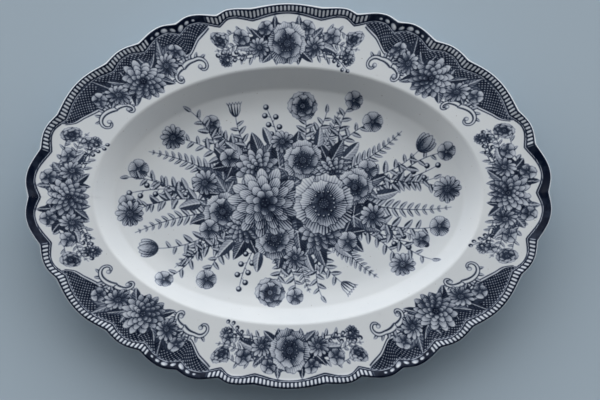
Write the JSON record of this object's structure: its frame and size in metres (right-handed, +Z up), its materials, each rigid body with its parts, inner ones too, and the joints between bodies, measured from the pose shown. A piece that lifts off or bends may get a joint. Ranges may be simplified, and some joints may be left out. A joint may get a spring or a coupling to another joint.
{
  "type": "meat platter",
  "caption": "Oval serving platter in white earthenware with a scalloped flat rim, a sunk well, a foot ring and a blue printed floral pattern under the glaze.",
  "frame": {"origin": "middle of the platter's plan, on the plane that its foot ring stands on", "axes": "+X along the platter's long axis, +Y towards the upper long side of the picture, +Z up, out of the well"},
  "size_m": [0.3564, 0.265, 0.0284],
  "materials": {
    "glazed_earthenware": "cool white clay body under a clear gloss glaze, printed in dark slate blue on the face"
  },
  "bodies": {
    "root": {"platter": "glazed_earthenware"}
  },
  "joints": []
}
